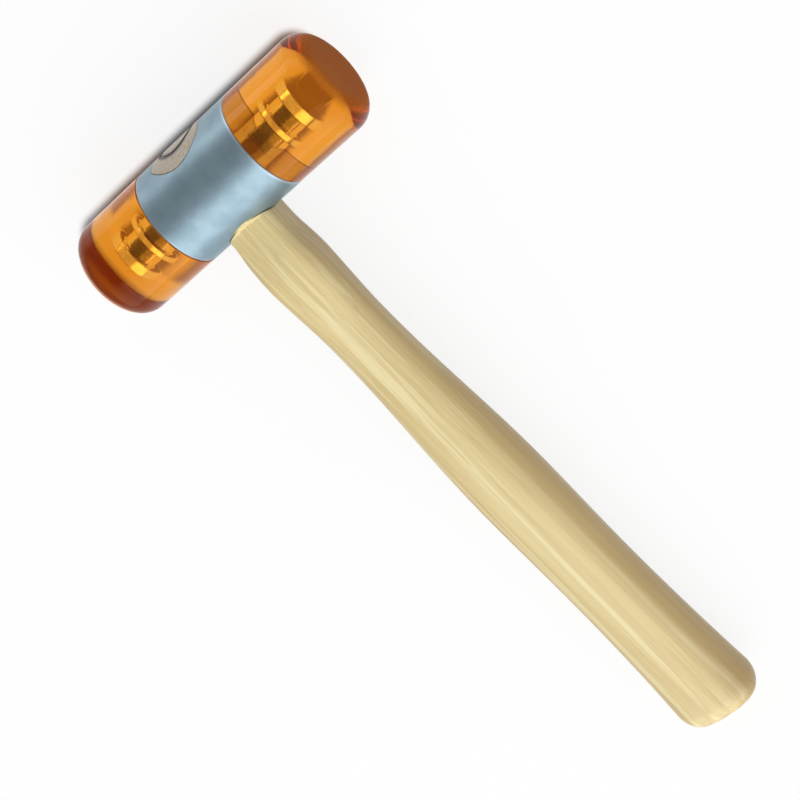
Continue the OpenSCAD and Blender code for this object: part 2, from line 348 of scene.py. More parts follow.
def add_piece(name, sheets, material):
    """Makes one closed mesh from sheets of points, each an array of rows of closed rings.

    Neighbouring rings are joined by quads, equal points of different sheets are merged, which
    also closes poles and seams, and the faces are turned outwards.
    """
    points = np.concatenate([sheet.reshape(-1, 3) for sheet in sheets])
    quads = []
    used = 0
    for sheet in sheets:
        rows, columns = sheet.shape[:2]
        index = used + np.arange(rows * columns).reshape(rows, columns)
        index = np.hstack([index, index[:, :1]])
        corners = [index[:-1, :-1], index[:-1, 1:], index[1:, 1:], index[1:, :-1]]
        quads.append(np.stack(corners, axis=-1).reshape(-1, 4))
        used += rows * columns
    mesh = bpy.data.meshes.new(name)
    mesh.from_pydata(laid(points), [], np.concatenate(quads))
    shape = bmesh.new()
    shape.from_mesh(mesh)
    bmesh.ops.remove_doubles(shape, verts=shape.verts, dist=MERGE_DISTANCE)
    bmesh.ops.recalc_face_normals(shape, faces=shape.faces)
    open_edges = sum(not edge.is_manifold for edge in shape.edges)
    shape.to_mesh(mesh)
    shape.free()
    if open_edges:
        raise RuntimeError(f"{name} has {open_edges} open edges")
    mesh.shade_smooth()
    mesh.set_sharp_from_angle(angle=SHARP_ANGLE)
    mesh.materials.append(material)
    piece = bpy.data.objects.new(name, mesh)
    bpy.context.scene.collection.objects.link(piece)
    return piece


def dress(piece, body, node):
    """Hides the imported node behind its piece, which moves with the body."""
    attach(piece, body)
    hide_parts(node)


def add_pair(name, sheet, material, body, node):
    """A front piece, and the same piece turned half round the handle's axis for the rear."""
    for end, turn in (("front", 1), ("rear", HALF_TURN_ABOUT_TOP)):
        piece = add_piece(f"{end}_{name}", [sheet * turn], material)
        dress(piece, f"{end}_{body}", f"{end}_{node}")


def eye_radius(sizes, height, cosine, gap=0):
    """Distance of the eye's wall from its axis, less a gap.

    The eye is a cone, straight from the underside to the top of the head, with two flat sides
    that lie at half the flats' width divided by the cosine of the angle round the axis.
    """
    bottom = sizes.eye_bottom / 2
    cone = bottom + (sizes.eye_top / 2 - bottom) * (height + HEAD_R) / (2 * HEAD_R)
    flat = (sizes.eye_flats / 2 - gap) / np.maximum(np.abs(cosine), 0.01)
    return np.minimum(cone - gap, flat)


def thread_cut(sizes, x, angles):
    """Depth of the thread's groove: a flat-topped triangle wave of x / pitch - angle / turn."""
    wave = np.abs(2 * ((x / sizes.thread_pitch - angles / (2 * np.pi)) % 1) - 1)
    return sizes.thread_height * np.clip(1.5 * wave - 0.25, 0, 1)


def housing_side(sizes):
    """The round side of the housing and the eye through it, as one sheet.

    The upper and the lower half of the side are unrolled about the head's axis into rectangles of
    x and angle. Each column runs straight from a point of the rectangle's edge to the mouth of the
    eye, rounds the mouth along a quadratic curve, and runs on down the eye to the other half.
    """
    end = HOUSING_END - 2 * sizes.rim_bevel
    up = np.linspace(-np.pi / 2, np.pi / 2, ROUND_COLUMNS // 2, endpoint=False)
    along = np.linspace(end, -end, ROUND_COLUMNS // 3, endpoint=False)
    edge_x = np.concatenate([end + 0 * up, along, 0 * up - end, -along]) - EYE_PLACE[0]
    edge_turn = np.concatenate([up, np.pi / 2 + 0 * along, -up, 0 * along - np.pi / 2])
    theta = np.arctan2(HEAD_R * edge_turn, edge_x)
    cosine, sine = np.cos(theta), np.sin(theta)
    halves = []
    mouths = []
    for half in (1, -1):
        def surface(radius):
            return half * np.sqrt(HEAD_R ** 2 - (radius * sine) ** 2)
        mouth = settled(lambda radius: eye_radius(sizes, surface(radius), cosine),
                        HEAD_R / 2 + 0 * theta)
        height = surface(mouth)
        run_x = edge_x - mouth * cosine
        mouth_turn = np.arcsin(mouth * sine / HEAD_R)
        run_turn = edge_turn - mouth_turn
        first = sizes.eye_edge / np.hypot(run_x, HEAD_R * run_turn)
        step = np.linspace(1, 0, 22)[:, None] ** 1.4
        way = first + (1 - first) * step
        x = mouth * cosine + way * run_x
        turn = mouth_turn + way * run_turn
        side = np.stack([x, half * HEAD_R * np.cos(turn), HEAD_R * np.sin(turn)], axis=-1)
        lip = np.stack([mouth * cosine, height, mouth * sine], axis=-1)
        below = height - half * sizes.eye_edge
        wall = eye_radius(sizes, below, cosine)
        inside = np.stack([wall * cosine, below, wall * sine], axis=-1)
        t = np.linspace(0, 1, CORNER_STEPS)[1:, None, None]
        halves.append(np.concatenate([side, bent(side[-1], lip, inside, t)]))
        mouths.append(below)
    drop = np.linspace(0, 1, 10)[1:-1, None]
    height = mouths[0] + drop * (mouths[1] - mouths[0])
    eye = upright(eye_radius(sizes, height, cosine), height, theta)
    return np.concatenate([halves[0], eye, halves[1][::-1]]) + EYE_PLACE


def housing_end(sizes):
    """The front end of the housing: rim, end face, washer recess and threaded hole, as one sheet.

    A profile is carried round the head's axis, and the hole's rows are cut by the thread's wave,
    which fades out at the hole's mouth and at its bottom.
    """
    angles = -np.pi / 2 + ring(ROUND_COLUMNS)
    bevel = sizes.rim_bevel
    recess_r = sizes.recess_d / 2
    floor = HOUSING_END - sizes.recess_depth
    bottom = HOUSING_END - sizes.hole_depth
    hole_r = sizes.thread_d / 2 + sizes.thread_gap
    shoulder = rounded(
        [(HOUSING_END - 2 * bevel, HEAD_R), (HOUSING_END, HEAD_R), (HOUSING_END, recess_r),
         (floor, recess_r), (floor, hole_r)],
        [0, bevel, bevel / 4, bevel / 4, 0])
    x = np.linspace(floor, bottom, 64)[1:]
    fade = np.clip(np.minimum(floor - x, x - bottom) / sizes.thread_pitch, 0, 1)[:, None]
    radius = hole_r - fade * thread_cut(sizes, x[:, None], angles)
    hole = about_head(x[:, None], radius, angles)
    cone = revolved(np.array([(bottom, hole_r / 2), (bottom, 0)]), angles)
    return np.concatenate([revolved(shoulder, angles), hole, cone])


def stud_profile(sizes, grow):
    """Outline of the stud inside the plastic, from the seat to its outer end, grown all round."""
    neck = HOUSING_END + sizes.neck_length
    flange = neck + sizes.inner_flange
    groove = flange + sizes.groove_length
    edge = sizes.stud_edge
    thread_r = sizes.thread_d / 2 + grow
    flange_r = sizes.flange_d / 2 + grow
    groove_r = sizes.groove_d / 2 + grow
    corners = [(FACE_SEAT, thread_r), (neck - grow, thread_r), (neck - grow, flange_r),
               (flange + grow, flange_r), (flange + grow, groove_r), (groove - grow, groove_r),
               (groove - grow, flange_r), (STUD_END + grow, flange_r), (STUD_END + grow, 0)]
    return rounded(corners, [0, edge, edge, edge, edge, edge, edge, edge, 0])


def stud_sheet(sizes):
    """The front stud: a threaded shank with a chamfered tip, a neck, and two flanges.

    The shank's rows follow the thread's wave, which fades out under the lock washer.
    """
    angles = ring(ROUND_COLUMNS)
    thread_r = sizes.thread_d / 2
    chamfer = sizes.thread_height
    x = np.linspace(STUD_TIP, FACE_SEAT, 84)[:-1]
    fade = np.clip((HOUSING_END - x) / sizes.recess_depth - 0.2, 0, 1)[:, None]
    radius = thread_r - fade * thread_cut(sizes, x[:, None], angles)
    tip_r = thread_r - chamfer + (x - STUD_TIP)[:, None]
    radius = np.minimum(radius, tip_r)
    shank = about_head(x[:, None], radius, angles)
    tip = revolved(np.array([(STUD_TIP, 0), (STUD_TIP, thread_r / 2)]), angles)
    return np.concatenate([tip, shank, revolved(stud_profile(sizes, 0), angles)])


def face_sheet(sizes):
    """The front face: a round block with its stud's pocket, carried round the head's axis.

    The outline runs from the pocket's end back to the seat, round the seat's bevel, along the
    side, and round a quarter circle to the striking face.
    """
    angles = ring(ROUND_COLUMNS)
    pocket = stud_profile(sizes, sizes.mould_gap)[::-1]
    bevel = sizes.seat_bevel
    seat = rounded(
        [(FACE_SEAT, HEAD_R - 6 * bevel), (FACE_SEAT, HEAD_R), (FACE_SEAT + 6 * bevel, HEAD_R)],
        [0, bevel, 0])
    edge = sizes.face_edge
    middle = np.array([FACE_END - edge, HEAD_R - edge])
    side = np.linspace(FACE_SEAT + 8 * bevel, FACE_END - edge, 12)[:-1]
    quarter = np.linspace(np.pi / 2, 0, 25)
    arc = middle + edge * np.stack([np.cos(quarter), np.sin(quarter)], axis=-1)
    flat = np.linspace(HEAD_R - edge, 0, 14)[1:]
    outline = np.concatenate([
        pocket, seat, np.stack([side, HEAD_R + 0 * side], axis=-1), arc,
        np.stack([FACE_END + 0 * flat, flat], axis=-1)])
    return revolved(outline, angles)


def washer_sheet(sizes):
    """The front lock washer: a rounded rectangle carried along an arc that stops at the split."""
    inner, outer = sizes.washer_bore / 2, sizes.washer_d / 2
    middle = (inner + outer) / 2
    edge = sizes.washer_edge
    corners = [(WASHER_SEAT, middle), (WASHER_SEAT, inner), (WASHER_TOP, inner),
               (WASHER_TOP, outer), (WASHER_SEAT, outer), (WASHER_SEAT, middle + edge)]
    section = rounded(corners, [0, edge, edge, edge, edge, 0])
    half_split = math.asin(sizes.washer_split / 2 / outer)
    arc = -np.pi / 2 + np.linspace(half_split, 2 * np.pi - half_split, ROUND_COLUMNS)
    swept = np.swapaxes(revolved(section, arc), 0, 1)
    ends = swept[[0, -1]]
    middles = ends.mean(axis=1, keepdims=True) + 0 * ends
    return np.concatenate([middles[:1], swept, middles[1:]])


def wedge_walls(sizes, height, grow):
    """Inner and outer radius of the ring wedge, which narrows straight to its cutting edge."""
    bottom = HEAD_R - sizes.wedge_length
    rise = (height - bottom) / (HEAD_R + sizes.wedge_over - bottom)
    middle = sizes.wedge_d / 2 - sizes.wedge_wall / 2
    half_wall = (sizes.wedge_cut + (sizes.wedge_wall - sizes.wedge_cut) * rise) / 2
    return middle - half_wall - grow, middle + half_wall + grow


def flush_height(radius, angles, sink):
    """Height of the head's round side, sunk a little, above a ring of the handle's axis."""
    return np.sqrt((HEAD_R - sink) ** 2 - (radius * np.sin(angles)) ** 2)


def wedge_mouth(sizes, angles, sink, grow):
    """Inner and outer radius of the ring wedge where it meets the head's round side."""
    def mouth(side):
        def step(radius):
            return wedge_walls(sizes, flush_height(radius, angles, sink), grow)[side]
        return settled(step, HEAD_R / 4 + 0 * angles)
    return mouth(0), mouth(1)


def wedge_sheet(sizes):
    """The ring wedge: two cones that meet in a cutting edge, under a top flush with the head."""
    angles = ring(ROUND_COLUMNS)
    sink = sizes.wedge_sink
    inner, outer = wedge_mouth(sizes, angles, sink, 0)
    across = np.linspace(0, 1, 6)[:, None]
    top_radius = inner + across * (outer - inner)
    crown = upright(top_radius, flush_height(top_radius, angles, sink), angles)
    bottom = HEAD_R - sizes.wedge_length
    down = np.linspace(0, 1, 5)[1:, None]
    walls = []
    for high, low in zip((inner, outer), wedge_walls(sizes, bottom, 0)):
        top = flush_height(high, angles, sink)
        walls.append(upright(high + down * (low - high), top + down * (bottom - top), angles))
    return np.concatenate([crown, walls[1], walls[0][::-1], crown[:1]]) + EYE_PLACE


def handle_section(sizes, below):
    """Half width, half thickness and squareness of the handle at distances below the head.

    Between its stations the handle eases along half cosine waves, past the hollow it flares as a
    parabola, and a quarter ellipse rounds the butt.
    """
    stations = [(0, sizes.tenon_end, sizes.tenon_end), sizes.neck, sizes.swell, sizes.waist,
                sizes.grip, sizes.hollow]
    shoulder, waist_at, hollow_at = sizes.neck[0], sizes.waist[0], sizes.hollow[0]
    flare_at = HANDLE_LENGTH - sizes.butt_round
    flare = np.maximum(below - hollow_at, 0) / (flare_at - hollow_at)
    past = np.clip((below - flare_at) / sizes.butt_round, 0, 1)
    drawn = 2 * sizes.butt_draw * (1 - np.sqrt(1 - past ** 2))
    halves = []
    for kind, flared in ((1, sizes.flare_w), (2, sizes.flare_t)):
        size = stations[0][kind] + 0 * below
        for a, b in zip(stations, stations[1:]):
            size = size + eased((below - a[0]) / (b[0] - a[0]), 0, b[kind] - a[kind])
        size = size + (flared - stations[-1][kind]) * np.minimum(flare, 1) ** 2 - drawn
        halves.append(size / 2)
    squareness = (eased(below / shoulder, 2, sizes.neck_squareness)
                  + eased((below - shoulder) / (waist_at - shoulder), 0,
                          sizes.grip_squareness - sizes.neck_squareness))
    return halves[0], halves[1], squareness


def handle_sheet(head, sizes):
    """The handle, as rings from the middle of its top end down to the middle of its butt.

    The top end follows the head's round side and is cut by the ring wedge's slot. The tenon is the
    eye's taper less a gap. Below the head each ring is a superellipse: its radius is
    (|cos / half width| ** n + |sin / half thickness| ** n) ** (-1 / n). Rings near the head are
    bent up to follow its round side, and half cosine waves lean the handle a little to the rear.
    """
    angles = ring(HANDLE_COLUMNS)
    gap = sizes.tenon_gap
    slot_inner, slot_outer = wedge_mouth(sizes, angles, 0, gap)
    cosine = np.cos(angles)
    rim = settled(lambda radius: eye_radius(head, flush_height(radius, angles, 0), cosine, gap),
                  HEAD_R / 2 + 0 * angles)
    edge = sizes.tenon_edge
    inner_radius = np.linspace(0, 1, 8)[:, None] * slot_inner
    outer_radius = slot_outer + np.linspace(0, 1, 10)[:, None] * (rim - edge - slot_outer)
    slot_bottom = HEAD_R - sizes.wedge_length - gap
    slot = [upright(low + 0 * angles, slot_bottom, angles)[None]
            for low in wedge_walls(sizes, slot_bottom, gap)]
    rim_height = flush_height(rim, angles, 0)
    t = np.linspace(0, 1, CORNER_STEPS)[1:, None, None]
    on_top = upright(rim - edge, flush_height(rim - edge, angles, 0), angles)
    corner = upright(rim, rim_height, angles)
    on_cone = upright(eye_radius(head, rim_height - edge, cosine, gap), rim_height - edge, angles)
    rim_curve = bent(on_top, corner, on_cone, t)
    cone_end = sizes.tenon_rise - HEAD_R
    down = np.linspace(0, 1, 12)[1:, None]
    cone_height = rim_height - edge + down * (cone_end - rim_height + edge)
    cone = upright(eye_radius(head, cone_height, cosine, gap), cone_height, angles)
    shoulder, swell_at, grip_at = sizes.neck[0], sizes.swell[0], sizes.grip[0]
    flare_at = HANDLE_LENGTH - sizes.butt_round
    quarter = np.linspace(0, np.pi / 2, 22)
    below = np.concatenate([
        np.linspace(0, shoulder, 6)[:-1],
        np.linspace(shoulder, swell_at, 32)[:-1],
        np.linspace(swell_at, flare_at, 92)[:-1],
        flare_at + sizes.butt_round * np.sin(quarter)])[:, None]
    half_w, half_t, power = handle_section(sizes, below)
    radius = ((np.abs(cosine) / half_w) ** power
              + (np.abs(np.sin(angles)) / half_t) ** power) ** (-1 / power)
    lift = HEAD_R - flush_height(np.minimum(radius, SADDLE_R), angles, 0)
    saddle = eased(below / swell_at, 1, 0)
    body = upright(radius, saddle * lift - HEAD_R - below, angles)
    inward = np.linspace(1, 0, 8)[1:, None]
    butt = upright(inward * radius[-1], -HEAD_R - HANDLE_LENGTH, angles)
    lean = sizes.lean * (eased(2 * below / swell_at, 0, 1)
                         - eased((below - grip_at) / (flare_at - grip_at), 0, LEAN_BACK))
    body[..., 0] -= lean
    butt[..., 0] -= lean[-1]
    return np.concatenate([
        upright(inner_radius, flush_height(inner_radius, angles, 0), angles), *slot,
        upright(outer_radius, flush_height(outer_radius, angles, 0), angles), rim_curve, cone,
        body, butt]) + EYE_PLACE


class Value:
    """A socket that carries a number, on which the arithmetic operators add Math nodes."""

    def __init__(self, shading, socket):
        self.shading = shading
        self.socket = socket

    def math(self, operation, first, second):
        """A Math node on two numbers."""
        return self.shading.node("ShaderNodeMath", {"operation": operation}, {0: first, 1: second})

    def __add__(self, other):
        return self.math("ADD", self, other)

    def __sub__(self, other):
        return self.math("SUBTRACT", self, other)

    def __rsub__(self, other):
        return self.math("SUBTRACT", other, self)

    def __mul__(self, other):
        return self.math("MULTIPLY", self, other)

    def __truediv__(self, other):
        return self.math("DIVIDE", self, other)

    def __pow__(self, other):
        return self.math("POWER", self, other)

    __radd__ = __add__
    __rmul__ = __mul__


class Shading:
    """The node tree of a material or a world."""

    def __init__(self, owner):
        owner.use_nodes = True
        self.owner = owner
        self.tree = owner.node_tree
        self.tree.nodes.clear()

    def node(self, kind, settings=None, inputs=None, output=0):
        """Adds a node with its settings, then its sockets' values or links, and gives an output."""
        made = self.tree.nodes.new(kind)
        for name, value in (settings or {}).items():
            if name == "stops":
                self.fill_ramp(made.color_ramp, value)
            else:
                setattr(made, name, value)
        for key, value in (inputs or {}).items():
            socket = self.pick(made.inputs, key)
            if isinstance(value, Value):
                self.tree.links.new(value.socket, socket)
            else:
                socket.default_value = value
        return None if output is None else Value(self, self.pick(made.outputs, output))

    def pick(self, sockets, key):
        """The socket at a place, or the one in use that has a name."""
        if isinstance(key, int):
            return sockets[key]
        return next(socket for socket in sockets if socket.enabled and socket.name == key)

    def fill_ramp(self, ramp, stops):
        """Gives a ramp its stops, each a place and a grey value."""
        while len(ramp.elements) < len(stops):
            ramp.elements.new(1)
        for element, (place, grey) in zip(ramp.elements, stops):
            element.position = place
            element.color = (grey, grey, grey, 1)

    def place(self):
        """Object coordinates turned into the head's own frame."""
        return self.node("ShaderNodeMapping", None, {
            "Vector": self.node("ShaderNodeTexCoord", output="Object"),
            "Rotation": (-LAY_ANGLE, 0, 0), "Location": -HEAD_FRAME @ HEAD_CENTRE})

    def size(self, value):
        """A number without its sign."""
        return self.node("ShaderNodeMath", {"operation": "ABSOLUTE"}, {0: value})

    def positive(self, value):
        """A number, or zero where it is negative."""
        return self.node("ShaderNodeMath", {"operation": "MAXIMUM"}, {0: value, 1: 0.0})

    def ray(self, kind):
        """One for a ray of a kind, such as one from the camera, and zero for any other."""
        return self.node("ShaderNodeLightPath", output=kind)

    def part(self, point, name):
        """One coordinate of a point."""
        return self.node("ShaderNodeSeparateXYZ", None, {0: point}, name)

    def vector(self, operation, first, second):
        """A point worked out from two points."""
        return self.node("ShaderNodeVectorMath", {"operation": operation}, {0: first, 1: second},
                         "Vector")

    def distance(self, point, weights):
        """Distance of a point from the axis whose coordinate has no weight."""
        across = self.vector("MULTIPLY", point, weights)
        return self.node("ShaderNodeVectorMath", {"operation": "LENGTH"}, {0: across}, "Value")

    def noise(self, point, scale, detail=2.0, roughness=0.5):
        """Soft noise from 0 to 1, with one scale or with one along each axis."""
        if isinstance(scale, tuple):
            point, scale = self.vector("MULTIPLY", point, scale), 1
        return self.node("ShaderNodeTexNoise", None, {
            "Vector": point, "Scale": scale, "Detail": detail, "Roughness": roughness}, "Fac")

    def ramp(self, value, low, high, start=0.0, end=1.0):
        """From start to end as the value goes from low to high, eased and held at both ends."""
        return self.node("ShaderNodeMapRange", {"interpolation_type": "SMOOTHSTEP"}, {
            "Value": value, "From Min": low, "From Max": high, "To Min": start, "To Max": end})

    def blend(self, factor, first, second):
        """A colour between two colours."""
        return self.node("ShaderNodeMix", {"data_type": "RGBA"}, {
            "Factor": factor, "A": first, "B": second}, "Result")

    def principled(self, inputs):
        """The usual surface, with the values or links of its sockets."""
        return self.node("ShaderNodeBsdfPrincipled", None, inputs)

    def bump(self, height, strength, distance):
        """A normal tilted by a height, where the distance is the height's full range."""
        return self.node("ShaderNodeBump", None, {
            "Height": height, "Strength": strength, "Distance": distance})

    def finish(self, surface, volume=None):
        """Links the shaders to the material's output, and gives the material."""
        shaders = {"Surface": surface}
        if volume is not None:
            shaders["Volume"] = volume
        self.node("ShaderNodeOutputMaterial", None, shaders, None)
        return self.owner


def rgba(colour_value):
    """A colour property as four numbers."""
    return (*colour_value, 1)


def zinc_finish(finishes):
    """Satin zinc plate: fine cast grain, dull patches, and brighter metal at the rims, partly wear
    and partly a painted highlight.
    """
    shading = Shading(bpy.data.materials.new("zinc_plate"))
    point = shading.place()
    patches = shading.noise(point, 120, 3)
    grain = shading.noise(point, 1500, 3, 0.6)
    along = shading.size(shading.part(point, "X"))
    # Brighter colour at the rims: partly wear, partly a painted highlight along the rim bevels
    rim = shading.ramp(along, HOUSING_END - 0.0016, HOUSING_END - 0.0004)
    wear_and_highlight = rim * shading.ramp(patches, 0.3, 0.6, 0.4, 1)
    base = shading.blend(shading.ramp(patches, 0.35, 0.7), rgba(finishes.zinc),
                         rgba(finishes.zinc_dull))
    base = shading.blend(wear_and_highlight, base, rgba(finishes.zinc_wear_and_highlight))
    roughness = 0.34 + 0.12 * patches + 0.10 * grain - 0.08 * wear_and_highlight
    surface = shading.principled({
        "Base Color": base, "Metallic": 0.9, "Roughness": roughness,
        "Normal": shading.bump(grain + 0.3 * patches, 0.35, 0.00006)})
    return shading.finish(surface)


def ash_finish(finishes):
    """Lacquered ash: growth rings about a far-off pith, pores, fibre streaks and end grain."""
    shading = Shading(bpy.data.materials.new("ash_wood"))
    point = shading.place()
    x, y, z = (shading.part(point, name) for name in "XYZ")

    # Wood: rings of early wood, long fibres, pale streaks, pores and slow changes of tone
    sway = shading.noise(point, (60, 7, 60), 2)
    across = x + 0.030 * y + 0.010 * sway - PITH_X
    depth = z + 0.008 * sway - PITH_Z
    distance = (across ** 2 + depth ** 2) ** 0.5
    year = shading.node("ShaderNodeMath", {"operation": "FRACT"}, {0: distance / YEAR_RING})
    early = shading.node("ShaderNodeValToRGB", {"stops": [
        (0.0, 0.25), (0.08, 0.95), (0.34, 0.75), (0.58, 0.12), (0.9, 0.02), (1.0, 0.25)]},
        {0: year})
    fibre = shading.noise(point, (900, 14, 900), 3, 0.6)
    tone = shading.noise(point, (70, 9, 70), 2)
    streaks = shading.noise(point, (330, 4, 330), 3, 0.6)
    pores = shading.noise(point, (2600, 70, 2600), 2, 0.55)
    pore = shading.ramp(pores, 0.60, 0.72) * (0.25 + 0.75 * early)
    spots = shading.noise(point, (800, 60, 800), 3, 0.65)

    # Places: the end in the eye, the butt, both flanks, and the seams at the eye and at the wedge,
    # where shade is painted
    butt_at = -HEAD_R - HANDLE_LENGTH
    top = shading.ramp(y, 0.0, 0.002)
    butt = shading.ramp(y, butt_at + 0.0002, butt_at + 0.004, 1, 0)
    # Painted shade: the flank facing +x is made browner, as if turned from the light, with some
    # random tone
    flank = shading.ramp(x, 0.003, 0.014)
    # Painted shade: the edge of the flank facing -x is darkened towards tan
    painted_edge_shade = shading.ramp(x, -0.017, -0.010, 0.45, 0)
    # Painted shade: the wood darkens in the groove at the eye's mouth, where it dips below the
    # head's round side, and round the wedge ring
    fold = (HEAD_R ** 2 - z ** 2) ** 0.5 - y
    from_eye = shading.distance(shading.vector("SUBTRACT", point, EYE_PLACE), (1, 0, 1))
    from_ring = shading.size(from_eye - RING_WEDGE_R)
    seam_shade = top * (shading.ramp(fold, 0.00005, 0.0004, 0, 0.8)
                  + shading.ramp(from_ring, 0.0009, 0.0020, 0.6, 0))

    base = rgba(finishes.ash_pale)
    for factor, tint in (
            (0.26 * early + 0.34 * tone + painted_edge_shade, finishes.ash_tan_and_edge_shade),
            (shading.ramp(fibre, 0.35, 0.75, 0, 0.4), finishes.ash_tan_and_edge_shade),
            (shading.ramp(streaks, 0.50, 0.66, 0, 0.6) * (1 - butt), finishes.ash_light),
            (0.4 * butt * (0.3 + early), finishes.ash_heart_and_flank_shade),
            (flank * (0.35 + 0.6 * tone), finishes.ash_heart_and_flank_shade),
            (0.9 * top, finishes.ash_end),
            (top * shading.ramp(spots, 0.42, 0.62, 0, 0.55), finishes.ash_pore),
            (0.3 * pore, finishes.ash_pore),
            (seam_shade, finishes.ash_seam_shade)):
        base = shading.blend(factor, base, rgba(tint))
    roughness = 0.40 + 0.12 * fibre + 0.15 * pore
    surface = shading.principled({
        "Base Color": base, "Roughness": roughness, "Coat Weight": 0.15, "Coat Roughness": 0.25,
        "Normal": shading.bump(0.4 * fibre - pore, 0.3, 0.00006)})
    return shading.finish(surface)


def amber_finish(finishes):
    """Clear amber plastic: deeper ways through it turn brown, blows have left its end matt, and a
    brown painted shade near the end stands in for dark surroundings seen through it.

    Its flat seat on the housing carries faint turned rings, and fine scuffs run round its side.
    """
    shading = Shading(bpy.data.materials.new("amber_plastic"))
    point = shading.place()
    along = shading.size(shading.part(point, "X"))
    seat = shading.ramp(along, FACE_SEAT + 0.0001, FACE_SEAT + 0.0003, 1, 0)
    struck = shading.ramp(along, FACE_END - 0.0035, FACE_END - 0.0003)
    radius = shading.distance(point, (0, 1, 1))
    rings = shading.noise(shading.node("ShaderNodeCombineXYZ", None, {0: radius}), 420, 2)
    scratches = shading.noise(point, (300, 900, 300), 4, 0.7)
    scuffs = shading.ramp(scratches, 0.5, 0.75)
    ripple = shading.noise(point, 90, 2)
    roughness = 0.02 + 0.05 * scuffs + 0.02 * ripple + 0.25 * struck
    normal = shading.bump(ripple, 0.15, 0.0006)
    clear = shading.principled({
        "Base Color": rgba(finishes.amber), "Roughness": roughness, "IOR": PLASTIC_IOR,
        "Specular Tint": rgba(finishes.amber_gloss), "Transmission Weight": 1.0, "Normal": normal})
    seat_tone = seat * shading.ramp(rings, 0.40, 0.60)
    haze_and_shade_colour = shading.blend(seat_tone, rgba(finishes.amber_haze_and_end_shade), rgba(finishes.amber_seat))
    haze_and_shade_layer = shading.principled({
        "Base Color": haze_and_shade_colour, "Roughness": roughness, "IOR": PLASTIC_IOR,
        "Specular IOR Level": 0.0, "Normal": normal})
    # Painted shade: the brown diffuse share rises towards the struck end, for dark surroundings
    # seen through the plastic; a little random haze runs everywhere, and more at the seat
    haze_and_end_shade = (shading.ramp(along, FACE_END - 0.013, FACE_END - 0.004, 0.03, 0.15) + 0.05 * ripple
            + 0.66 * struck + 0.35 * seat)
    surface = shading.node("ShaderNodeMixShader", None, {0: haze_and_end_shade, 1: clear, 2: haze_and_shade_layer})
    volume = shading.node("ShaderNodeVolumeAbsorption", None, {
        "Color": rgba(finishes.amber_depth), "Density": finishes.amber_density})
    return shading.finish(surface, volume)


def steel_finish(name, base, roughness, turned, dark=0.0):
    """Steel with fine turned lines round the head's axis, spots and a little unevenness.

    The dark share of its colour is lost near the head's axis: painted shade in the groove, the neck
    and the thread, short of the outer end.
    """
    shading = Shading(bpy.data.materials.new(name))
    point = shading.place()
    lines = shading.noise(point, (5000, 60, 60), 2)
    spots = shading.noise(point, 500, 3, 0.6)
    tint = shading.blend(shading.ramp(spots, 0.4, 0.75, 0, 0.6), rgba(base),
                         rgba(0.6 * part for part in base))
    # Painted shade in the stud's groove, neck and thread
    if dark:
        along = shading.size(shading.part(point, "X"))
        groove_shade = shading.ramp(shading.distance(point, (0, 1, 1)), 0.0054, 0.0064, dark, 0)
        groove_shade = groove_shade * shading.ramp(along, STUD_END - 0.0010, STUD_END - 0.0004, 1, 0)
        tint = shading.blend(groove_shade, tint, (0, 0, 0, 1))
    surface = shading.principled({
        "Base Color": tint, "Metallic": 1.0, "Roughness": roughness + 0.12 * spots,
        "Normal": shading.bump(turned * lines + 0.5 * spots, 0.3, 0.00003)})
    return shading.finish(surface)


def floor_finish(stage, corner):
    """A white floor that shows its own white to the camera, to gloss and through the amber.

    The head's shadow is painted in, not cast: it lies below the head and a little to its top and
    its rear, and the white fades with the distance from the head's outline, which has rounded
    corners.
    Seen through the amber, which gathers light from the line that the head rests on, a painted
    shade makes it dark below the studs.
    """
    shading = Shading(bpy.data.materials.new("white_floor"))
    camera_ray, through_ray = shading.ray("Is Camera Ray"), shading.ray("Is Transmission Ray")
    glossy_ray = shading.ray("Is Glossy Ray") * (1 - through_ray)
    point = shading.node("ShaderNodeTexCoord", output="Object")
    along = shading.part(point, "X") - HEAD_CENTRE[0]
    past = shading.part(point, "Y") - HEAD_CENTRE[1]

    # Painted shadow: the head's outline with a soft edge, fading out on the handle's side
    beside = shading.positive(shading.size(along + stage.shadow_shift) - (FACE_END - corner))
    beyond = shading.positive(past - (HEAD_R - corner))
    outside = (beside ** 2 + beyond ** 2) ** 0.5 - corner
    shadow = (shading.ramp(outside, -0.0001, stage.shadow_fade, 1, 0)
              * shading.ramp(past, -0.014, 0.006))

    # Painted shade: a narrow strip along the line that the head rests on, up to a little past the
    # studs
    across_line = shading.size(past + 0.0009)
    along_line = shading.size(along - 0.004)
    shade = (shading.ramp(across_line, 0.0023, 0.0030, 1, 0)
             * shading.ramp(along_line, STUD_END + 0.004, STUD_END + 0.008, 1, 0))

    # The camera sees a diffuse floor with the painted shadow in its colour; other rays see a dimmer
    # grey floor
    dim = shading.node("ShaderNodeBsdfDiffuse", None, {"Color": (0.40, 0.40, 0.40, 1)})
    lit = shading.node("ShaderNodeBsdfDiffuse", None, {
        "Color": shading.blend(shadow, (0.98, 0.98, 0.98, 1), (0.32, 0.32, 0.34, 1))})
    glow = shading.node("ShaderNodeEmission", None, {"Color": (1, 1, 1, 1), "Strength": 1.0})
    # Gloss sees the painted shadow too, and the amber sees the painted shade below the studs
    shown = ((stage.floor_glow * camera_ray + glossy_ray) * (1 - shadow)
             + through_ray * (1 - stage.shade_depth * shade))
    surface = shading.node("ShaderNodeMixShader", None, {
        0: shading.node("ShaderNodeMath", {"operation": "MINIMUM"}, {0: shown, 1: 1.0}),
        1: shading.node("ShaderNodeMixShader", None, {0: camera_ray, 1: dim, 2: lit}), 2: glow})
    return shading.finish(surface)


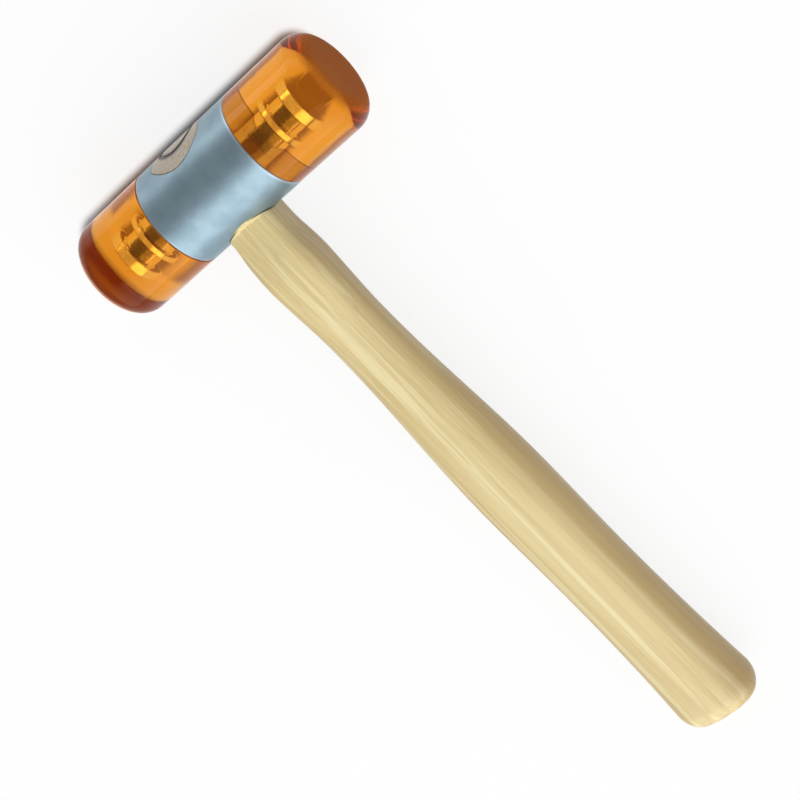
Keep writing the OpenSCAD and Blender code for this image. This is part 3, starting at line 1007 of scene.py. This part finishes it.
def studio_world():
    """Dim surroundings, darker at the horizon, that are white to the camera and in the amber."""
    shading = Shading(bpy.data.worlds.new("studio"))
    direction = shading.node("ShaderNodeTexCoord", output="Generated")
    sky = shading.ramp(shading.part(direction, "Z"), 0.0, 0.6, 0.30, 0.42)
    white = shading.ray("Is Camera Ray") + shading.ray("Is Transmission Ray")
    background = shading.node("ShaderNodeBackground", None, {
        "Color": (1, 1, 1, 1), "Strength": sky + white * (1 - sky)})
    shading.node("ShaderNodeOutputWorld", None, {"Surface": background}, None)
    return shading.owner


def add_lamp(name, box, watts):
    """A softbox at its place, turned to the hammer's middle and hidden from the camera."""
    offset, width, height = box
    lamp = bpy.data.lights.new(name, "AREA")
    lamp.shape = "RECTANGLE"
    lamp.size = width
    lamp.size_y = height
    lamp.energy = watts
    holder = bpy.data.objects.new(name, lamp)
    holder.location = (CAD_BOX[0] + CAD_BOX[1]) / 2 + offset
    holder.rotation_euler = (-offset).to_track_quat("-Z", "Y").to_euler()
    holder.visible_camera = False
    bpy.context.scene.collection.objects.link(holder)


def add_camera(stage):
    """A camera on a sphere round its aim, rolled about its view."""
    back = Vector((math.cos(stage.elevation) * math.cos(stage.azimuth),
                   math.cos(stage.elevation) * math.sin(stage.azimuth), math.sin(stage.elevation)))
    level = Vector((0, 0, 1)).cross(back).normalized()
    right = math.cos(stage.roll) * level + math.sin(stage.roll) * back.cross(level)
    camera = bpy.data.cameras.new("camera")
    camera.lens = stage.lens
    camera.clip_start = 0.01
    holder = bpy.data.objects.new("camera", camera)
    turn = Matrix((right, back.cross(right), back)).transposed().to_4x4()
    holder.matrix_world = Matrix.Translation(Vector(stage.aim) + stage.distance * back) @ turn
    bpy.context.scene.collection.objects.link(holder)
    bpy.context.scene.camera = holder


class HAMMER_OT_housing(bpy.types.Operator):
    """Build the zinc-plated housing with its eye, washer recesses and threaded holes"""

    bl_idname = "hammer.housing"
    bl_label = "Housing"

    def execute(self, context):
        sizes = context.scene.hammer_head
        front = housing_end(sizes)
        sheets = [housing_side(sizes), front, front * HALF_TURN_ABOUT_TOP]
        piece = add_piece("zinc_housing", sheets, zinc_finish(context.scene.hammer_finishes))
        dress(piece, "hammer", "housing")
        return {"FINISHED"}


class HAMMER_OT_handle(bpy.types.Operator):
    """Build the ash handle with its tenon in the eye"""

    bl_idname = "hammer.handle"
    bl_label = "Handle"

    def execute(self, context):
        scene = context.scene
        sheet = handle_sheet(scene.hammer_head, scene.hammer_handle)
        piece = add_piece("ash_handle", [sheet], ash_finish(scene.hammer_finishes))
        dress(piece, "hammer", "handle")
        return {"FINISHED"}


class HAMMER_OT_ring_wedge(bpy.types.Operator):
    """Build the steel ring wedge in the end of the handle"""

    bl_idname = "hammer.ring_wedge"
    bl_label = "Ring wedge"

    def execute(self, context):
        scene = context.scene
        material = steel_finish("wedge_steel", scene.hammer_finishes.wedge_steel,
                                roughness=0.5, turned=0.0)
        piece = add_piece("steel_ring_wedge", [wedge_sheet(scene.hammer_handle)], material)
        dress(piece, "hammer", "ring_wedge")
        return {"FINISHED"}


class HAMMER_OT_faces(bpy.types.Operator):
    """Build the two amber faces"""

    bl_idname = "hammer.faces"
    bl_label = "Amber faces"

    def execute(self, context):
        add_pair("amber_face", face_sheet(context.scene.hammer_head),
                 amber_finish(context.scene.hammer_finishes), "head", "face")
        return {"FINISHED"}


class HAMMER_OT_studs(bpy.types.Operator):
    """Build the two threaded studs moulded into the faces"""

    bl_idname = "hammer.studs"
    bl_label = "Studs"

    def execute(self, context):
        # dark is the share of painted shade in the stud's groove, neck and thread
        material = steel_finish("stud_steel", context.scene.hammer_finishes.steel,
                                roughness=0.22, turned=1.0, dark=0.8)
        add_pair("threaded_stud", stud_sheet(context.scene.hammer_head), material, "head", "stud")
        return {"FINISHED"}


class HAMMER_OT_lock_washers(bpy.types.Operator):
    """Build the two split lock washers"""

    bl_idname = "hammer.lock_washers"
    bl_label = "Lock washers"

    def execute(self, context):
        material = steel_finish("spring_steel", context.scene.hammer_finishes.spring_steel,
                                roughness=0.4, turned=0.5)
        add_pair("split_washer", washer_sheet(context.scene.hammer_head), material, "washer",
                 "lock_washer")
        return {"FINISHED"}


class HAMMER_OT_stage(bpy.types.Operator):
    """Build the floor, the lamps, the surroundings and the camera"""

    bl_idname = "hammer.stage"
    bl_label = "Stage"

    def execute(self, context):
        stage = context.scene.hammer_stage
        corners = np.array([(-1, -1, 0), (1, -1, 0), (1, 1, 0), (-1, 1, 0)]) * FLOOR_REACH
        mesh = bpy.data.meshes.new("floor")
        mesh.from_pydata(corners + (0, 0, FLOOR_LEVEL), [], [(0, 1, 2, 3)])
        mesh.materials.append(floor_finish(stage, context.scene.hammer_head.face_edge))
        floor = bpy.data.objects.new("floor", mesh)
        context.scene.collection.objects.link(floor)
        add_lamp("key_softbox", KEY_BOX, stage.key_watts)
        add_lamp("fill_softbox", FILL_BOX, stage.fill_watts)
        context.scene.world = studio_world()
        context.scene.view_settings.view_transform = "Standard"
        add_camera(stage)
        return {"FINISHED"}


PIECES = (HAMMER_OT_stage, HAMMER_OT_housing, HAMMER_OT_handle, HAMMER_OT_ring_wedge,
          HAMMER_OT_faces, HAMMER_OT_studs, HAMMER_OT_lock_washers)


class HAMMER_PT_sidebar(bpy.types.Panel):
    """Sizes and finishes of the hammer, and a button for each piece"""

    bl_idname = "HAMMER_PT_sidebar"
    bl_label = "Soft face hammer"
    bl_space_type = "VIEW_3D"
    bl_region_type = "UI"
    bl_category = "Hammer"

    def draw(self, context):
        for maker in PIECES:
            self.layout.operator(maker.bl_idname)
        for name, group in SETTINGS.items():
            box = self.layout.box()
            settings = getattr(context.scene, name)
            for key in group.__annotations__:
                box.prop(settings, key)


SETTINGS = {
    "hammer_head": HeadSizes,
    "hammer_handle": HandleSizes,
    "hammer_finishes": Finishes,
    "hammer_stage": StageSettings,
}


def register():
    """Registers the classes and hangs the settings on the scene."""
    for kind in (*SETTINGS.values(), *PIECES, HAMMER_PT_sidebar):
        bpy.utils.register_class(kind)
    for name, group in SETTINGS.items():
        setattr(bpy.types.Scene, name, bpy.props.PointerProperty(type=group))


def unregister():
    """Takes the settings off the scene and unregisters the classes."""
    for name in SETTINGS:
        delattr(bpy.types.Scene, name)
    for kind in reversed((*SETTINGS.values(), *PIECES, HAMMER_PT_sidebar)):
        bpy.utils.unregister_class(kind)


def main():
    """Builds the hammer."""
    register()
    bpy.ops.hammer.stage()
    bpy.ops.hammer.housing()
    bpy.ops.hammer.handle()
    bpy.ops.hammer.ring_wedge()
    bpy.ops.hammer.faces()
    bpy.ops.hammer.studs()
    bpy.ops.hammer.lock_washers()


if __name__ == "__main__":
    main()
